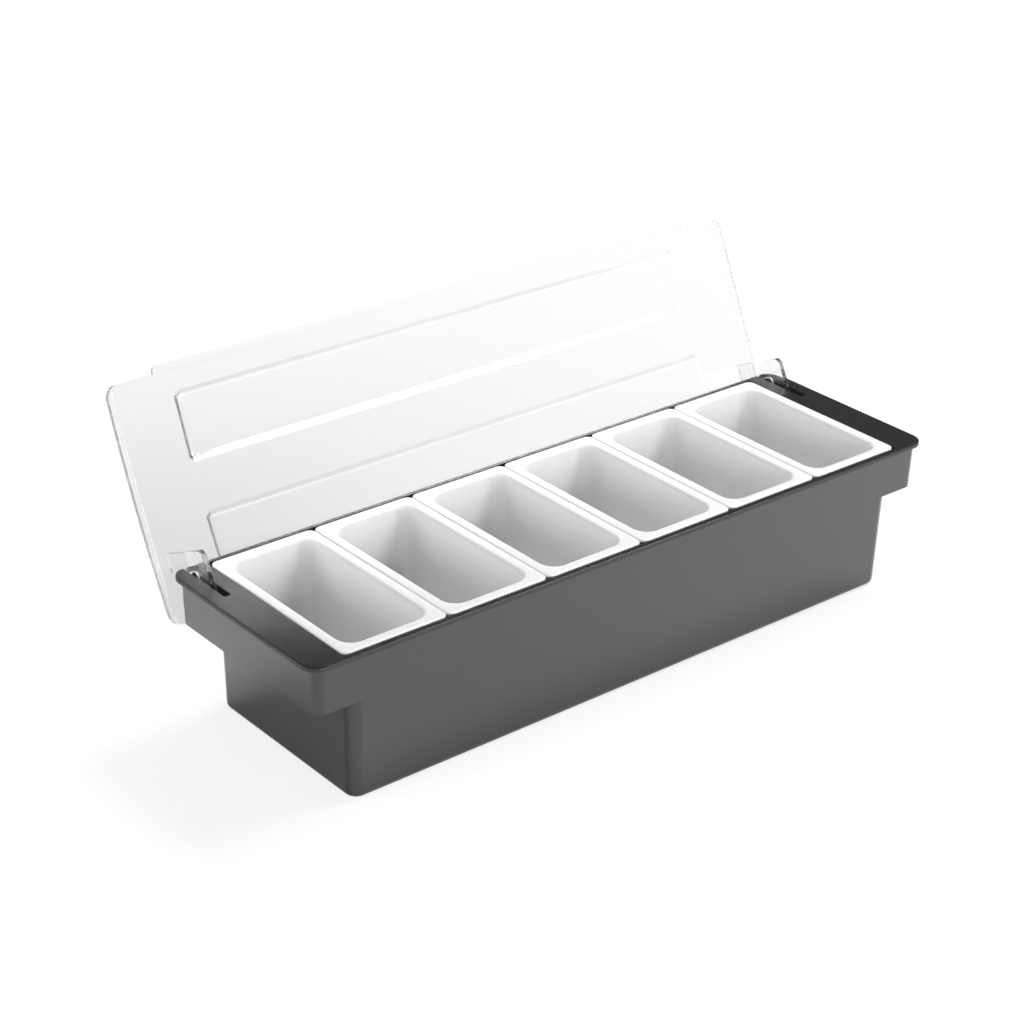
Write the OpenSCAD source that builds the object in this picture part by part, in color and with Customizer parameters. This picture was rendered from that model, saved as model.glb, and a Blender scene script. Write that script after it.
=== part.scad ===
// Condiment caddy: a long tub with six lift-out inserts and one clear flip lid.
// Millimetres. Origin: centre of the tub's foot on the table. +Z up, front is -Y, length along X.
// The lid is drawn closed and then swung open about its hinge, which is how the caddy rests.

/* [Tub] */
// Length of the rim
rim_l = 500; // [496:1:504]
// Width of the rim, front to back
rim_w = 147.4; // [147:0.1:148]
// Height of the rim's top face above the table
rim_h = 100; // [96:1:112]
// Thickness of the rim
rim_t = 3; // [2.8:0.1:3.4]
// Corner radius of the rim in plan
rim_r = 11; // [10.5:0.5:12]
// Rounding of the rim's edges
rim_edge = 0.6; // [0.5:0.1:0.8]
// How far the rim stands out past the front and rear walls
rim_out = 3.15; // [3.1:0.05:3.5]
// Length of the foot, between the end walls
foot_l = 440; // [440:0.5:441]
// Draft angle of all the outer walls
draft = 1.1; // [1:0.05:1.3]
// Wall thickness
wall = 2.4; // [2.2:0.1:2.6]
// Thickness of the tub's floor
floor_t = 3; // [2.5:0.5:4]
// Radius of the tub's upright corners
tub_r = 8.5; // [8:0.5:10]
// Fillet round the foot
foot_fillet = 4.5; // [2.5:0.5:5.5]

/* [End grips] */
// Height of the hollow grip under each end of the rim
grip_h = 33; // [30:1:36]
// How far the rim stands out past the grip's end wall
grip_in = 4.5; // [4.3:0.1:4.8]
// Radius of the grip's upright corners
grip_r = 6.5; // [6:0.5:7.5]

/* [Inserts] */
// Spacing of the six inserts
insert_pitch = 75; // [74.8:0.05:75]
// Gap between the rims of two neighbours
insert_gap = 0.4; // [0.4:0.1:1]
// Length of an insert's rim, front to back
insert_w = 137.4; // [136.5:0.1:137.6]
// Overall height of an insert
insert_h = 84; // [60:1:86]
// Width of the insert's flat rim
insert_rim = 5.7; // [5.5:0.1:6]
// Thickness of the insert's rim
insert_rim_t = 2.6; // [2.4:0.1:2.8]
// Corner radius of the insert's rim
insert_r = 5; // [4:0.5:6]
// Draft angle of the insert's walls
insert_draft = 3.2; // [3:0.1:4]
// Wall thickness of an insert
insert_wall = 2; // [1.6:0.1:2.2]

/* [Lid] */
// Length of the lid
lid_l = 498.8; // [498:0.1:499]
// Depth of the lid, front to back
lid_d = 149; // [148:0.5:149.5]
// How far the shut lid's rear edge stands out behind the rim
lid_out = 1.8; // [1.7:0.05:1.9]
// Height of the lid's edge walls
lid_edge = 4.2; // [4:0.1:5]
// Rise of the arched top above the edge walls' top
lid_rise = 3.2; // [2.6:0.2:4]
// Wall thickness of the lid
lid_wall = 2; // [1.8:0.1:2.2]
// Corner radius of the lid in plan
lid_r = 8; // [7:0.5:10]
// Length of each raised panel
panel_l = 411; // [380:1:420]
// Depth of each raised panel
panel_d = 45; // [36:1:47]
// Height of each raised panel
panel_h = 1.2; // [0.8:0.1:1.6]
// Width of the panel's sloped border
panel_bevel = 2.6; // [1.5:0.1:3]
// Length of the finger strip along the front edge
strip_l = 432; // [300:2:440]
// How far the finger strip stands out
strip_out = 4.6; // [4:0.2:8]

/* [Hinge] */
// Angle from closed to fully open
lid_open = 115.5; // [114:0.5:115.5]
// Thickness of the two hinge arms
arm_t = 3.4; // [3:0.1:3.6]
// Width of the arm's neck and leg
arm_w = 12.5; // [11:0.5:12.5]
// Depth of the arm below the lid's edge walls when closed
arm_drop = 39.5; // [38.5:0.5:40]
// Diameter of the moulded pivot stubs
stub_d = 5; // [4:0.5:5]
// Radial clearance of the stubs in the bearing lugs
stub_clear = 0.05; // [0.03:0.01:0.1]
// Width of the slot that each arm swings through
slot_w = 5.1; // [5:0.1:5.4]
// Thickness of the bearing lugs
lug_t = 3; // [2.5:0.1:3]

/* [Hidden] */
$fn = 32;
black = [0.17, 0.17, 0.175];
white = [0.93, 0.93, 0.92];
clear = [0.86, 0.89, 0.9, 0.35];
td = tan(draft);
rim_bot = rim_h - rim_t;
grip_bot = rim_h - grip_h;
// half sizes of the outer walls at the rim's underside
wall_y = rim_w / 2 - rim_out;
grip_x = rim_l / 2 - grip_in;
end_x = foot_l / 2 + rim_bot * td;
// opening in the rim, with a step that the inserts' rims drop into
seat_depth = 2.2;
seat_x = 3 * insert_pitch + 0.6;
seat_y = insert_w / 2 + 1.1;
seat_r = 3;
seat_t = 2.4;
// fillet round the tub's floor, inside
floor_fillet = 3.6;
insert_top = rim_h - seat_depth + insert_rim_t;
insert_l = insert_pitch - insert_gap;
insert_body_r = 12;
insert_fillet = 8;
insert_lead = 1.6;
// ribs on the long walls that carry the inserts
rib_t = 2.2;
rib_out = 3.4;
rib_spread = 22;
// hinge axis, measured from the rim's rear top edge
hinge_in = 12.4;
hinge_drop = 16.4;
// chamfer along the rim's rear top edge, past which the lid's inside corner swings
rear_relief = 1.4;
hinge_y = rim_w / 2 - hinge_in;
hinge_z = rim_h - hinge_drop;
hinge_x = 237.75;
slot_front = 28;
slot_deep = 4.2;
lug_r = 6;
boss_r = 5.5;
stub_l = 10;
// closed lid
lid_gap = 0.4;
lid_z = rim_h + lid_gap;
lid_back = rim_w / 2 + lid_out;
lid_mid = lid_back - lid_d / 2;
arch_r = lid_d * lid_d / (8 * lid_rise) + lid_rise / 2;
arch_z = lid_z + lid_edge + lid_rise - arch_r;
arch_flats = 13;
swing_r = 18.9;
panel_at = 37.8;
panel_shift = 1.1;
panel_fit = 0.4;
bond = 0.02;
// hinge arm, closed
neck_back = lid_back - 31;
neck_front = neck_back - arm_w;
leg_z = lid_z - arm_drop;
foot_y = hinge_y - 6.8;
arm_corner = 5;
arm_fillet = 4;

// Block with rounded upright edges, centred in plan, standing on z = 0.
module rounded_block(l, w, h, r) {
    translate([-l / 2 + r, -w / 2, 0])
        cube([l - 2 * r, w, h]);
    translate([-l / 2, -w / 2 + r, 0])
        cube([l, w - 2 * r, h]);
    for (x = [-l / 2 + r, l / 2 - r], y = [-w / 2 + r, w / 2 - r])
        translate([x, y, 0])
            cylinder(h = h, r = r);
}

// Disc whose two edges are rounded by e.
module soft_disc(r, t, e) {
    rotate_extrude()
        polygon([[0, 0], [r - e, 0], [r - 0.5 * e, 0.134 * e], [r - 0.134 * e, 0.5 * e], [r, e],
                 [r, t - e], [r - 0.134 * e, t - 0.5 * e], [r - 0.5 * e, t - 0.134 * e], [r - e, t], [0, t]]);
}

// Rounded plate with soft edges.
module soft_plate(l, w, t, r, e) {
    hull()
        for (x = [-l / 2 + r, l / 2 - r], y = [-w / 2 + r, w / 2 - r])
            translate([x, y, 0])
                soft_disc(r, t, e);
}

// Disc with a fillet round its lower edge, for the corners of a hollow or a foot.
module fillet_disc(r, f) {
    steps = 5;
    rotate_extrude()
        polygon(concat([[0, 0]],
                       [for (i = [0:steps]) [r - f + f * sin(90 * i / steps), f - f * cos(90 * i / steps)]],
                       [[0, f]]));
}

// Tapered bin: filleted foot of half size bx by by at z0, upright corners r, half size tx by ty at z1.
module bin(bx, by, z0, tx, ty, z1, r, f) {
    hull() {
        for (x = [-1, 1], y = [-1, 1]) {
            translate([x * (bx - r), y * (by - r), z0])
                fillet_disc(r, f);
            translate([x * (tx - r), y * (ty - r), z1 - 0.01])
                cylinder(h = 0.01, r = r);
        }
    }
}

// Drafted block from z0 up to z1, with its top half sizes given.
module drafted(tx, ty, z0, z1, r) {
    d = (z1 - z0) * td;
    hull()
        for (x = [-1, 1], y = [-1, 1]) {
            translate([x * (tx - d - r), y * (ty - d - r), z0])
                cylinder(h = 0.01, r = r);
            translate([x * (tx - r), y * (ty - r), z1 - 0.01])
                cylinder(h = 0.01, r = r);
        }
}

// Hollow under one end of the rim.
module grip_hollow() {
    low = grip_bot - 5;
    d = (rim_bot - low) * td;
    r = 2;
    hull()
        for (y = [-1, 1]) {
            translate([end_x - d + r, y * (wall_y - wall - d - r), low])
                cylinder(h = 0.01, r = r);
            translate([end_x + r, y * (wall_y - wall - r), rim_bot - 0.01])
                cylinder(h = 0.01, r = r);
            translate([grip_x - wall - d - grip_r + wall, y * (wall_y - d - grip_r), low])
                cylinder(h = 0.01, r = grip_r - wall);
            translate([grip_x - grip_r, y * (wall_y - grip_r), rim_bot - 0.01])
                cylinder(h = 0.01, r = grip_r - wall);
        }
}

// Lug pair that carries one pivot stub, under the rim on both sides of the slot.
module bearing_lugs() {
    for (x = [-slot_w / 2 - lug_t, slot_w / 2])
        translate([hinge_x + x, 0, 0]) {
            translate([0, hinge_y - lug_r, hinge_z])
                cube([lug_t, wall_y - 1.5 - hinge_y + lug_r, hinge_drop - rim_t + 1]);
            translate([0, hinge_y, hinge_z - lug_r])
                cube([lug_t, wall_y - 1.5 - hinge_y, lug_r + 1]);
            translate([0, hinge_y, hinge_z])
                rotate([0, 90, 0])
                    cylinder(h = lug_t, r = lug_r);
        }
}

// Upright ribs on both long walls; the inserts' rims rest on their tops.
module ribs() {
    for (i = [-2.5:2.5], s = [-rib_spread, rib_spread], m = [0, 1])
        mirror([0, m, 0])
            translate([i * insert_pitch + s - rib_t / 2, wall_y - wall / 2, rim_bot])
                rotate([-draft, 0, 0])
                    translate([0, -rib_out - wall / 2, -rim_bot + floor_t - 0.6])
                        cube([rib_t, rib_out + wall / 2, rim_bot - floor_t + 3]);
}

module tub_shell() {
    lower_x = foot_l / 2 + grip_bot * td;
    lower_y = wall_y - grip_h * td + rim_t * td;
    translate([0, 0, rim_bot])
        soft_plate(rim_l, rim_w, rim_t, rim_r, rim_edge);
    difference() {
        drafted(grip_x, wall_y, grip_bot, rim_bot, grip_r);
        for (m = [0, 1])
            mirror([m, 0, 0])
                grip_hollow();
    }
    bin(foot_l / 2, wall_y - rim_bot * td, 0, lower_x, lower_y, grip_bot, tub_r, foot_fillet);
    for (m = [0, 1])
        mirror([m, 0, 0]) {
            translate([end_x - wall, -wall_y + wall / 2, rim_h - seat_depth - seat_t])
                cube([seat_x - end_x + 2 * wall, 2 * wall_y - wall, seat_t]);
            bearing_lugs();
        }
}

module base_tub() {
    inner = rim_bot * td + wall;
    color(black)
        difference() {
            union() {
                difference() {
                    tub_shell();
                    bin(foot_l / 2 - wall, wall_y - inner, floor_t,
                        end_x - wall + 2 * td, wall_y - wall + 2 * td, rim_bot + 2,
                        tub_r - wall, floor_fillet);
                }
                ribs();
            }
            translate([0, 0, rim_h - seat_depth])
                rounded_block(2 * seat_x, 2 * seat_y, seat_depth + 5, seat_r);
            translate([0, rim_w / 2, rim_h])
                rotate([45, 0, 0])
                    cube([rim_l + 2, rear_relief * sqrt(2), rear_relief * sqrt(2)], center = true);
            for (m = [0, 1])
                mirror([m, 0, 0]) {
                    translate([hinge_x - slot_w / 2, slot_front, rim_h - slot_deep])
                        cube([slot_w, rim_w / 2, slot_deep + 1]);
                    translate([hinge_x - slot_w, hinge_y, hinge_z])
                        rotate([0, 90, 0])
                            cylinder(h = 2 * slot_w, r = stub_d / 2 + stub_clear);
                }
        }
}

// One insert, its centre over the origin.
module insert_cup() {
    bx = insert_l / 2 - insert_rim;
    by = insert_w / 2 - insert_rim;
    taper = insert_h * tan(insert_draft);
    z0 = insert_top - insert_h;
    t = insert_wall;
    r = insert_body_r;
    color(white)
        difference() {
            union() {
                translate([0, 0, insert_top - insert_rim_t])
                    soft_plate(insert_l, insert_w, insert_rim_t, insert_r, 0.8);
                bin(bx - taper, by - taper, z0, bx, by, insert_top - 1, r, insert_fillet);
            }
            bin(bx - taper - t, by - taper - t, z0 + t, bx - t, by - t, insert_top + 0.5, r - t, insert_fillet - t);
            hull()
                for (x = [-1, 1], y = [-1, 1])
                    translate([x * (bx - r), y * (by - r), insert_top]) {
                        translate([0, 0, -insert_lead])
                            cylinder(h = 0.01, r = r - t);
                        translate([0, 0, -insert_lead / 3])
                            cylinder(h = 0.01, r = r - t + insert_lead * 0.45);
                        cylinder(h = 0.5, r = r - t + insert_lead);
                    }
        }
}

module insert_1() {
    translate([-2.5 * insert_pitch, 0, 0])
        insert_cup();
}

module insert_2() {
    translate([-1.5 * insert_pitch, 0, 0])
        insert_cup();
}

module insert_3() {
    translate([-0.5 * insert_pitch, 0, 0])
        insert_cup();
}

module insert_4() {
    translate([0.5 * insert_pitch, 0, 0])
        insert_cup();
}

module insert_5() {
    translate([1.5 * insert_pitch, 0, 0])
        insert_cup();
}

module insert_6() {
    translate([2.5 * insert_pitch, 0, 0])
        insert_cup();
}

// Swings its children from closed to fully open.
module swung() {
    translate([0, hinge_y, hinge_z])
        rotate([-lid_open, 0, 0])
            translate([0, -hinge_y, -hinge_z])
                children();
}

// Solid under the arch, out to the given radius, as a row of narrow flats.
module arch(r) {
    half = asin((lid_d / 2 + 1) / arch_r);
    base = lid_z - arm_drop - 1;
    translate([-lid_l / 2 - 1, lid_mid, 0])
        rotate([90, 0, 90])
            linear_extrude(height = lid_l + 2)
                polygon(concat([[-r * sin(half), base]],
                               [for (i = [-arch_flats:arch_flats])
                                   [r * sin(half * i / arch_flats), arch_z + r * cos(half * i / arch_flats)]],
                               [[r * sin(half), base]]));
}

// Flat-topped panel with sloped borders on the arch, rear (1) or front (-1); sunk by t for the underside.
module panel(side, t) {
    l = panel_l / 2 - t;
    d = panel_d / 2 - t;
    b = panel_bevel;
    r = 5;
    translate([0, lid_mid, arch_z])
        rotate([-asin((side * panel_at - panel_shift) / arch_r), 0, 0])
            translate([0, 0, arch_r - t])
                hull()
                    for (x = [-1, 1], y = [-1, 1]) {
                        translate([x * (l - r), y * (d - r), -panel_fit - t / 2])
                            cylinder(h = 0.1, r = r);
                        translate([x * (l - r), y * (d - r), -panel_fit])
                            cylinder(h = 0.1, r = r);
                        translate([x * (l - r), y * (d - r), panel_h - 0.01])
                            cylinder(h = 0.01, r = r - b);
                    }
}

module lid_closed() {
    difference() {
        union() {
            intersection() {
                translate([0, lid_mid, lid_z])
                    rounded_block(lid_l, lid_d, 2 * (lid_edge + lid_rise), lid_r);
                arch(arch_r);
            }
            for (side = [-1, 1])
                panel(side, 0);
            translate([0, lid_back - lid_d, lid_z + lid_edge - lid_wall])
                rounded_block(strip_l, 2 * strip_out, lid_wall, strip_out - 0.5);
        }
        intersection() {
            translate([0, lid_mid, lid_z - 1])
                rounded_block(lid_l - 2 * lid_wall, lid_d - 2 * lid_wall, 2 * (lid_edge + lid_rise), lid_r - lid_wall);
            arch(arch_r - lid_wall);
        }
        for (side = [-1, 1])
            panel(side, lid_wall);
        for (x = [-lid_l / 2 - 1, lid_l / 2 - lid_wall - 1])
            translate([x, hinge_y, hinge_z])
                rotate([0, 90, 0])
                    cylinder(h = lid_wall + 2, r = swing_r, $fn = 96);
    }
}

module lid() {
    color(clear)
        swung()
            lid_closed();
}

// Outline of one hinge arm, closed, seen from the end: neck down from the lid, leg back, foot up to the boss.
module arm_outline() {
    low = leg_z + arm_corner;
    top = lid_z + 2 * lid_edge;
    heel = leg_z + arm_w / 2;
    rise = hinge_z - heel;
    run = hinge_y - foot_y;
    side = (boss_r - 0.6) / norm([run, rise]);
    translate([neck_front, low])
        square([arm_w, top - low]);
    translate([neck_front + arm_corner, leg_z])
        square([foot_y - neck_front - arm_corner, arm_w]);
    translate([neck_front + arm_corner, low])
        circle(r = arm_corner);
    translate([foot_y, heel])
        circle(r = arm_w / 2);
    polygon([[foot_y + side * rise, heel - side * run], [hinge_y + side * rise, hinge_z - side * run],
             [hinge_y - side * rise, hinge_z + side * run], [foot_y - side * rise, heel + side * run]]);
    polygon([[neck_back - 1, leg_z + arm_w - 1], [neck_back + arm_fillet, leg_z + arm_w - 1],
             [neck_back + arm_fillet, leg_z + arm_w], [neck_back + 0.4 * arm_fillet, leg_z + arm_w + 0.15 * arm_fillet],
             [neck_back + 0.15 * arm_fillet, leg_z + arm_w + 0.4 * arm_fillet],
             [neck_back, leg_z + arm_w + arm_fillet], [neck_back - 1, leg_z + arm_w + arm_fillet]]);
}

// One hinge arm, closed, with its boss and the two pivot stubs.
module arm_closed() {
    intersection() {
        translate([-arm_t / 2, 0, 0])
            rotate([90, 0, 90])
                linear_extrude(height = arm_t)
                    arm_outline();
        arch(arch_r - lid_wall - bond);
    }
    translate([-arm_t / 2, hinge_y, hinge_z])
        rotate([0, 90, 0])
            cylinder(h = arm_t, r = boss_r);
    translate([-stub_l / 2, hinge_y, hinge_z])
        rotate([0, 90, 0])
            cylinder(h = stub_l, r = stub_d / 2);
}

module hinge_arm_left() {
    color(clear)
        swung()
            translate([-hinge_x, 0, 0])
                arm_closed();
}

module hinge_arm_right() {
    color(clear)
        swung()
            translate([hinge_x, 0, 0])
                arm_closed();
}

base_tub();
insert_1();
insert_2();
insert_3();
insert_4();
insert_5();
insert_6();
lid();
hinge_arm_left();
hinge_arm_right();
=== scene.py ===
import math

import bmesh
import bpy
from mathutils import Matrix, Vector


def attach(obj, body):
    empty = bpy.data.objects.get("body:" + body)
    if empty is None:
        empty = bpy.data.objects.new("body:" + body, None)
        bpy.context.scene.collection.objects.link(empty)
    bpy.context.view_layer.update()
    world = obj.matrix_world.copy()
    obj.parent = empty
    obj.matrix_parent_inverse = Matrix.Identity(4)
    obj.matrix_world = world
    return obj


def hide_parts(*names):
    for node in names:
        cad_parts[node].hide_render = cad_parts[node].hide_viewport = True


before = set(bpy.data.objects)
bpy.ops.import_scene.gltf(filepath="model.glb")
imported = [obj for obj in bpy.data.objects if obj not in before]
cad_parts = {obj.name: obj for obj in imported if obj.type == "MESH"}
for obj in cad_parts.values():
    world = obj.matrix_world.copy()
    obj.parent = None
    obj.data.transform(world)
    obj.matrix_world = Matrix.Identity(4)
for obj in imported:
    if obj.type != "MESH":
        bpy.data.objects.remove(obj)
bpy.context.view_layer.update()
scene = bpy.context.scene

INSERT_COUNT = 6
INSERT_PITCH = 0.075

# z range of the rim's edge band, which is painted darker as the shade under the rim, and how much duller than
# the walls it is
BAND_LOW, BAND_HIGH, BAND_DULLER = 0.0968, 0.0994, 0.35

# strength of the sky by kind of ray: soft bounced light, a shine, through the lid, seen straight
SKY, SKY_SHINE, SKY_THROUGH, SKY_SEEN = 0.1, 0.08, 0.95, 1.0
# the floor's own colour by kind of ray
FLOOR_SEEN, FLOOR_SHINE, FLOOR_BOUNCE = 0.2, 1.5, 0.8
FLOOR_SIZE = 14
# glow that levels the lit floor to white: level, less a pool under the lamps (centre, depth, spread)
FILL_LEVEL, FILL_POOL = 1.045, ((0.3, -0.3, 0.0), 0.262, 0.5)
# what is seen through the lid: a little brighter, with a dimmer pool of painted shade behind its left end
BEHIND_LIFT, PAINTED_SHADE_BEHIND = 0.045, ((-0.2, 0.2, 0.0), 0.37, 14.0)

# softboxes in metres: name, place, aim, size, brightness of the face
SOFTBOXES = (
    ("key_overhead", (0.9, -0.1, 1.45), (0, 0, 0.1), (1.0, 0.6), 17.5),
    ("front", (-0.1, -1.7, 0.42), (0, 0, 0.06), (1.4, 0.5), 9.5),
    ("left", (-1.4, 0.4, 0.5), (-0.2, 0, 0.06), (0.8, 0.6), 6.0),
)

CAMERA_LENS, CAMERA_SENSOR = 84.993, 36
CAMERA_PLACE = (-0.90176519, -1.0231558, 0.77795854)
CAMERA_TURN = ((0.77320977, 0.27253216, -0.57260184),
               (-0.63389947, 0.35755822, -0.68580141),
               (0.01783555, 0.89324036, 0.4492255))


# shader helpers

def material(name):
    m = bpy.data.materials.new(name)
    m.use_nodes = True
    nt = m.node_tree
    nt.nodes.clear()
    out = nt.nodes.new("ShaderNodeOutputMaterial")
    return m, nt, out


def add(nt, kind, **values):
    n = nt.nodes.new(kind)
    for k, v in values.items():
        if k in n.inputs:
            n.inputs[k].default_value = v
        else:
            setattr(n, k, v)
    return n


def maths(nt, kind, a, b):
    n = add(nt, "ShaderNodeMath", operation=kind)
    for socket, v in zip(n.inputs, (a, b)):
        if isinstance(v, (int, float)):
            socket.default_value = v
        else:
            nt.links.new(v, socket)
    return n.outputs[0]


def ranged(nt, value, low, high):
    """A 0 to 1 value spread over low to high."""
    n = add(nt, "ShaderNodeMapRange")
    n.inputs["To Min"].default_value = low
    n.inputs["To Max"].default_value = high
    nt.links.new(value, n.inputs["Value"])
    return n.outputs["Result"]


def ramped(nt, value, stops):
    """A colour ramp over two (position, colour) stops."""
    ramp = add(nt, "ShaderNodeValToRGB")
    for element, (position, colour) in zip(ramp.color_ramp.elements, stops):
        element.position = position
        element.color = colour
    nt.links.new(value, ramp.inputs["Fac"])
    return ramp.outputs["Color"]


def ray_level(nt, straight, through, mirrored, scattered):
    """A strength by kind of ray: seen straight, through the lid, in a shine, or met by soft bounced light."""
    path = nt.nodes.new("ShaderNodeLightPath")
    clear = path.outputs["Is Transmission Ray"]
    shine = maths(nt, "MULTIPLY", path.outputs["Is Glossy Ray"], maths(nt, "SUBTRACT", 1.0, clear))
    seen = maths(nt, "MULTIPLY", path.outputs["Is Camera Ray"], straight)
    total = maths(nt, "ADD", seen, maths(nt, "MULTIPLY", clear, through))
    total = maths(nt, "ADD", total, maths(nt, "MULTIPLY", shine, mirrored))
    return maths(nt, "ADD", total, maths(nt, "MULTIPLY", path.outputs["Is Diffuse Ray"], scattered))


def falloff(nt, where, centre, depth, spread):
    """depth at the centre, dropping away with distance from it."""
    away = add(nt, "ShaderNodeVectorMath", operation="DISTANCE")
    away.inputs[1].default_value = centre
    nt.links.new(where, away.inputs[0])
    squared = maths(nt, "POWER", away.outputs["Value"], 2.0)
    return maths(nt, "DIVIDE", depth, maths(nt, "ADD", 1.0, maths(nt, "MULTIPLY", spread, squared)))


# materials

def tub_material():
    """Satin black moulded plastic: fine spark texture, faint flow mottling, duller round the rim's edge,
    where shade is painted in as a near-black band.
    """
    m, nt, out = material("tub_satin_black")
    L = nt.links.new
    bsdf = add(nt, "ShaderNodeBsdfPrincipled")
    L(bsdf.outputs[0], out.inputs[0])
    bsdf.inputs["IOR"].default_value = 1.5
    tc = add(nt, "ShaderNodeTexCoord")
    flow = add(nt, "ShaderNodeTexNoise", Scale=14.0, Detail=3.0, Roughness=0.5)
    L(tc.outputs["Object"], flow.inputs["Vector"])
    stops = ((0.35, (0.0175, 0.0177, 0.018, 1)), (0.68, (0.0195, 0.0197, 0.02, 1)))
    black = ramped(nt, flow.outputs["Fac"], stops)
    split = add(nt, "ShaderNodeSeparateXYZ")
    L(tc.outputs["Object"], split.inputs[0])
    # painted shade mask: the rim's edge band between these heights, also made rougher
    band = maths(nt, "MULTIPLY", maths(nt, "GREATER_THAN", split.outputs["Z"], BAND_LOW),
                 maths(nt, "LESS_THAN", split.outputs["Z"], BAND_HIGH))
    # sockets 6 and 7 are the mix's two colours, output 2 its colour result
    rim_painted_shade = add(nt, "ShaderNodeMix", data_type="RGBA")
    # painted shade: near-black colour for the rim's edge band
    rim_painted_shade.inputs[7].default_value = (0.006, 0.006, 0.006, 1)
    L(band, rim_painted_shade.inputs[0])
    L(black, rim_painted_shade.inputs[6])
    L(rim_painted_shade.outputs[2], bsdf.inputs["Base Color"])
    rough = ranged(nt, flow.outputs["Fac"], 0.215, 0.235)
    L(maths(nt, "ADD", rough, maths(nt, "MULTIPLY", band, BAND_DULLER)), bsdf.inputs["Roughness"])
    grain = add(nt, "ShaderNodeTexNoise", Scale=1900.0, Detail=2.0)
    L(tc.outputs["Object"], grain.inputs["Vector"])
    bev = add(nt, "ShaderNodeBevel", Radius=0.0002)
    bev.samples = 6
    bump = add(nt, "ShaderNodeBump", Strength=0.12, Distance=0.00005)
    L(grain.outputs["Fac"], bump.inputs["Height"])
    L(bev.outputs["Normal"], bump.inputs["Normal"])
    L(bump.outputs["Normal"], bsdf.inputs["Normal"])
    return m


def insert_material():
    """White polypropylene, smooth."""
    m, nt, out = material("insert_white")
    L = nt.links.new
    bsdf = add(nt, "ShaderNodeBsdfPrincipled")
    L(bsdf.outputs[0], out.inputs[0])
    bsdf.inputs["IOR"].default_value = 1.49
    tc = add(nt, "ShaderNodeTexCoord")
    flow = add(nt, "ShaderNodeTexNoise", Scale=22.0, Detail=2.0)
    L(tc.outputs["Object"], flow.inputs["Vector"])
    white = ramped(nt, flow.outputs["Fac"], ((0.0, (0.735, 0.735, 0.73, 1)), (1.0, (0.765, 0.765, 0.762, 1))))
    L(white, bsdf.inputs["Base Color"])
    L(ranged(nt, flow.outputs["Fac"], 0.24, 0.34), bsdf.inputs["Roughness"])
    bev = add(nt, "ShaderNodeBevel", Radius=0.0012)
    bev.samples = 6
    L(bev.outputs["Normal"], bsdf.inputs["Normal"])
    return m


def clear_material():
    """Clear polished plastic: mirror-like at a slant, part straight-through and part refracted light."""
    m, nt, out = material("lid_clear")
    L = nt.links.new
    bsdf = add(nt, "ShaderNodeBsdfPrincipled")
    bsdf.inputs["IOR"].default_value = 1.49
    bsdf.inputs["Transmission Weight"].default_value = 1.0
    bsdf.inputs["Base Color"].default_value = (0.955, 0.96, 0.96, 1)
    tc = add(nt, "ShaderNodeTexCoord")
    wave = add(nt, "ShaderNodeTexNoise", Scale=9.0, Detail=1.0)
    L(tc.outputs["Object"], wave.inputs["Vector"])
    L(ranged(nt, wave.outputs["Fac"], 0.02, 0.05), bsdf.inputs["Roughness"])
    bump = add(nt, "ShaderNodeBump", Strength=0.05, Distance=0.0004)
    L(wave.outputs["Fac"], bump.inputs["Height"])
    L(bump.outputs["Normal"], bsdf.inputs["Normal"])
    path = add(nt, "ShaderNodeLightPath")
    shadow = add(nt, "ShaderNodeBsdfTransparent", Color=(0.93, 0.935, 0.935, 1))
    thin = add(nt, "ShaderNodeBsdfTransparent", Color=(0.94, 0.943, 0.945, 1))
    body = add(nt, "ShaderNodeMixShader", Fac=0.9)
    L(thin.outputs[0], body.inputs[1])
    L(bsdf.outputs[0], body.inputs[2])
    mix = add(nt, "ShaderNodeMixShader")
    L(path.outputs["Is Shadow Ray"], mix.inputs[0])
    L(body.outputs[0], mix.inputs[1])
    L(shadow.outputs[0], mix.inputs[2])
    L(mix.outputs[0], out.inputs[0])
    return m


def floor_material():
    """White floor that keeps shadows, levelled by a glow of its own, with painted shade as a dim pool seen
    through the lid's left end.
    """
    m, nt, out = material("floor_white")
    diff = add(nt, "ShaderNodeBsdfDiffuse")
    nt.links.new(ray_level(nt, FLOOR_SEEN, FLOOR_SEEN, FLOOR_SHINE, FLOOR_BOUNCE), diff.inputs["Color"])
    tc = add(nt, "ShaderNodeTexCoord")
    fill = maths(nt, "SUBTRACT", FILL_LEVEL, falloff(nt, tc.outputs["Object"], *FILL_POOL))
    # painted shade: a dim pool behind the lid's left end, seen only through the lid
    lid_left_painted_shade = falloff(nt, tc.outputs["Object"], *PAINTED_SHADE_BEHIND)
    behind = maths(nt, "SUBTRACT", maths(nt, "ADD", fill, BEHIND_LIFT), lid_left_painted_shade)
    glow = add(nt, "ShaderNodeEmission", Color=(1, 1, 1, 1))
    nt.links.new(ray_level(nt, fill, behind, 0.0, 0.0), glow.inputs["Strength"])
    both = add(nt, "ShaderNodeAddShader")
    nt.links.new(diff.outputs[0], both.inputs[0])
    nt.links.new(glow.outputs[0], both.inputs[1])
    nt.links.new(both.outputs[0], out.inputs[0])
    return m


# meshes

def rounded(hx, hy, r, z, n=12):
    """Points round a rounded rectangle, counter-clockwise from above, in mm."""
    pts = []
    for k, (sx, sy) in enumerate(((1, 1), (-1, 1), (-1, -1), (1, -1))):
        for i in range(n + 1):
            a = math.radians(90 * k + 90 * i / n)
            pts.append((sx * (hx - r) + r * math.cos(a), sy * (hy - r) + r * math.sin(a), z))
    return pts


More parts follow.
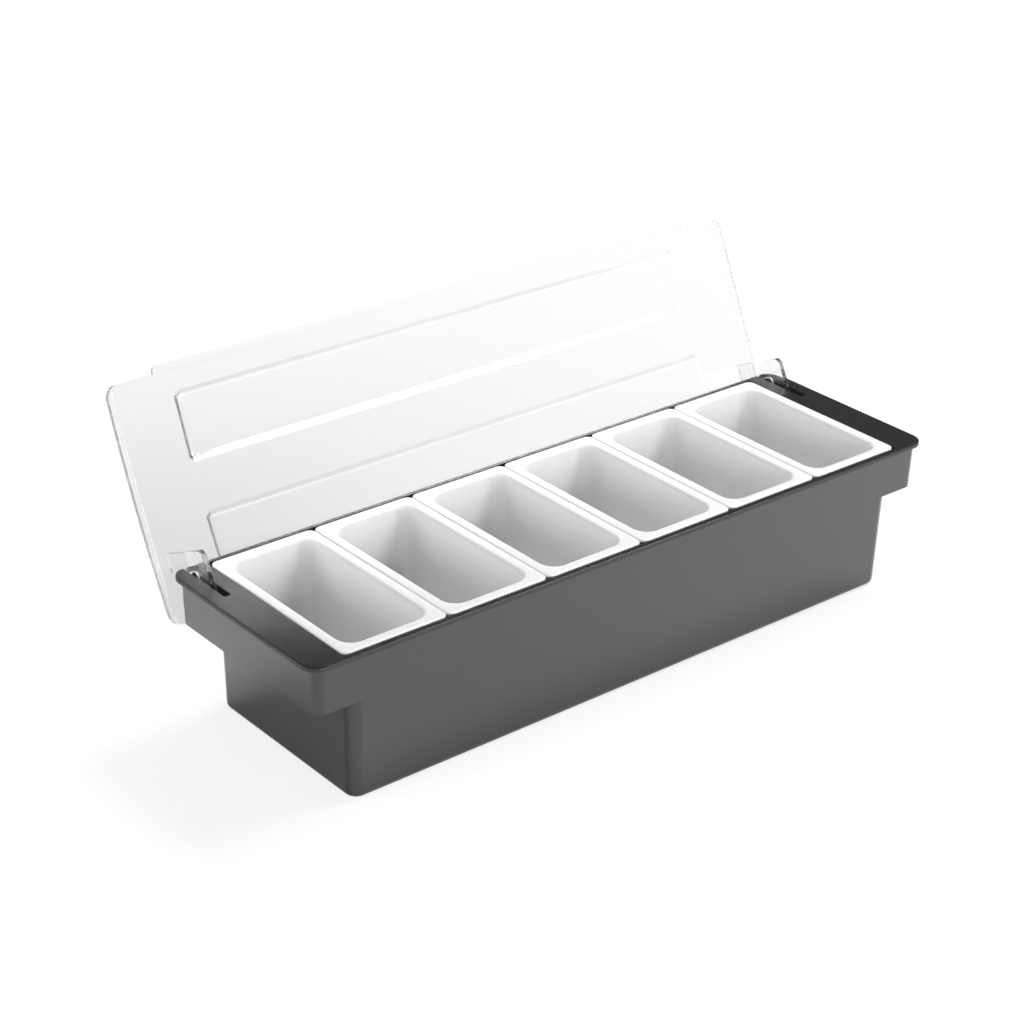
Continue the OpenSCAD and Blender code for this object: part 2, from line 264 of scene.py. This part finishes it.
def loft(name, rings, smooth=35.0):
    """Closed skin over a run of rings with equal point counts, capped at both ends."""
    bm = bmesh.new()
    rows = [[bm.verts.new([c / 1000 for c in p]) for p in ring] for ring in rings]
    for lo, hi in zip(rows, rows[1:]):
        for i in range(len(lo)):
            j = (i + 1) % len(lo)
            bm.faces.new((lo[i], lo[j], hi[j], hi[i]))
    bm.faces.new(list(reversed(rows[0])))
    bm.faces.new(rows[-1])
    for f in bm.faces:
        f.smooth = True
    bmesh.ops.recalc_face_normals(bm, faces=bm.faces)
    me = bpy.data.meshes.new(name)
    bm.to_mesh(me)
    bm.free()
    me.set_sharp_from_angle(angle=math.radians(smooth))
    return me


def insert_mesh():
    """One lift-out insert: outer wall up from the foot, round the rim, and down the inside."""
    rim_x, rim_y, rim_r, rim_t, top = 37.3, 68.7, 5.0, 2.6, 100.4
    under = top - rim_t
    taper = 4.696
    out_x, out_y, out_r, foot, heel, out_run = 26.904, 58.304, 12.0, 16.4, 8, 75.0
    in_x, in_y, in_r, floor_z, fillet, in_run = 24.904, 56.304, 10.0, 18.4, 6.0, 76.5
    low_edge, high_edge = 0.8, 1.0
    lip_out, lip_down = 1.9, 2.6
    wall_stations = (80, 60, 42)
    rings = []

    # outer fillet and wall
    for i in range(7):
        a = math.radians(15 * i)
        d = heel - heel * math.sin(a)
        rings.append(rounded(out_x - d, out_y - d, out_r - d, foot + heel - heel * math.cos(a)))
    grow = taper * (under - foot - heel) / out_run
    rings.append(rounded(out_x + grow, out_y + grow, out_r, under))

    # rim, from its underside to its top
    for i in range(4):
        a = math.radians(30 * i)
        d = low_edge - low_edge * math.sin(a)
        rings.append(rounded(rim_x - d, rim_y - d, rim_r - d, under + low_edge - low_edge * math.cos(a)))
    for i in range(5):
        a = math.radians(22.5 * i)
        d = high_edge - high_edge * math.cos(a)
        rings.append(rounded(rim_x - d, rim_y - d, rim_r - d, top - high_edge + high_edge * math.sin(a)))

    # rolled lip, inner wall and inner fillet
    def inner(z, more=0.0):
        g = taper * (z - floor_z - fillet) / in_run + more
        return rounded(in_x + g, in_y + g, in_r + more, z)
    for i in range(7):
        a = math.radians(15 * i)
        rings.append(inner(top - lip_down + lip_down * math.cos(a), lip_out - lip_out * math.sin(a)))
    for z in wall_stations:
        rings.append(inner(z))
    for i in range(8):
        a = math.radians(90 * i / 7)
        d = fillet - fillet * math.cos(a)
        rings.append(rounded(in_x - d, in_y - d, in_r - d, floor_z + fillet - fillet * math.sin(a)))
    return loft("insert_cup", rings)


def refined(node, name, width, sharp=24.0, segments=2):
    """The CAD node's own form with its facets blended and its hard edges rounded by width."""
    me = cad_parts[node].data.copy()
    bm = bmesh.new()
    bm.from_mesh(me)
    bmesh.ops.remove_doubles(bm, verts=bm.verts, dist=2e-6)
    if width:
        bmesh.ops.dissolve_limit(bm, angle_limit=math.radians(0.3), verts=bm.verts, edges=bm.edges)
    for f in bm.faces:
        f.smooth = True
    bm.to_mesh(me)
    bm.free()
    me.set_sharp_from_angle(angle=math.radians(sharp))
    o = bpy.data.objects.new(name, me)
    if width:
        bev = o.modifiers.new("soft_edges", "BEVEL")
        bev.width = width
        bev.segments = segments
        bev.limit_method = "ANGLE"
        bev.angle_limit = math.radians(sharp)
    wn = o.modifiers.new("flat_faces", "WEIGHTED_NORMAL")
    wn.keep_sharp = True
    wn.weight = 80
    return o


def place(o, mat, body, node):
    """Puts a visual piece on its body in place of its CAD node, with one material for both."""
    scene.collection.objects.link(o)
    o.data.materials.clear()
    o.data.materials.append(mat)
    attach(o, body)
    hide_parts(node)
    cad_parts[node].data.materials.clear()
    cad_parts[node].data.materials.append(mat)


# the caddy

TUB = tub_material()
INSERT = insert_material()
CLEAR = clear_material()

place(refined("base_tub", "tub_shell", 0, 12.0), TUB, "base", "base_tub")
place(refined("lid", "lid_shell", 0.0005), CLEAR, "lid", "lid")
place(refined("hinge_arm_left", "arm_left", 0.0004), CLEAR, "lid", "hinge_arm_left")
place(refined("hinge_arm_right", "arm_right", 0.0004), CLEAR, "lid", "hinge_arm_right")
cup = insert_mesh()
for i in range(INSERT_COUNT):
    n = "insert_%d" % (i + 1)
    o = bpy.data.objects.new(n + "_cup", cup)
    o.location.x = (i - (INSERT_COUNT - 1) / 2) * INSERT_PITCH
    place(o, INSERT, n, n)


# floor, sky, lamps and camera

bpy.ops.mesh.primitive_plane_add(size=FLOOR_SIZE, location=(0, 0, 0))
floor = bpy.context.object
floor.name = "floor"
floor.data.materials.append(floor_material())

world = bpy.data.worlds.new("studio")
scene.world = world
world.use_nodes = True
nt = world.node_tree
nt.nodes.clear()
out = nt.nodes.new("ShaderNodeOutputWorld")
sky = add(nt, "ShaderNodeBackground", Color=(1, 1, 1, 1))
nt.links.new(ray_level(nt, SKY_SEEN, SKY_THROUGH, SKY_SHINE, SKY), sky.inputs["Strength"])
nt.links.new(sky.outputs[0], out.inputs[0])


def softbox(name, at, to, size, radiance):
    """Rectangular lamp whose power follows from the brightness of its face."""
    data = bpy.data.lights.new(name, "AREA")
    data.shape = "RECTANGLE"
    data.size, data.size_y = size
    data.energy = radiance * math.pi * size[0] * size[1]
    o = bpy.data.objects.new(name, data)
    scene.collection.objects.link(o)
    o.location = at
    o.rotation_euler = (Vector(to) - Vector(at)).to_track_quat("-Z", "Y").to_euler()


for box in SOFTBOXES:
    softbox(*box)

cam_data = bpy.data.cameras.new("camera")
cam_data.sensor_width = CAMERA_SENSOR
cam_data.lens = CAMERA_LENS
cam_data.clip_start = 0.05
cam_data.clip_end = 50
cam = bpy.data.objects.new("camera", cam_data)
scene.collection.objects.link(cam)
cam.matrix_world = Matrix.Translation(CAMERA_PLACE) @ Matrix(CAMERA_TURN).to_4x4()
scene.camera = cam

scene.view_settings.view_transform = "Standard"
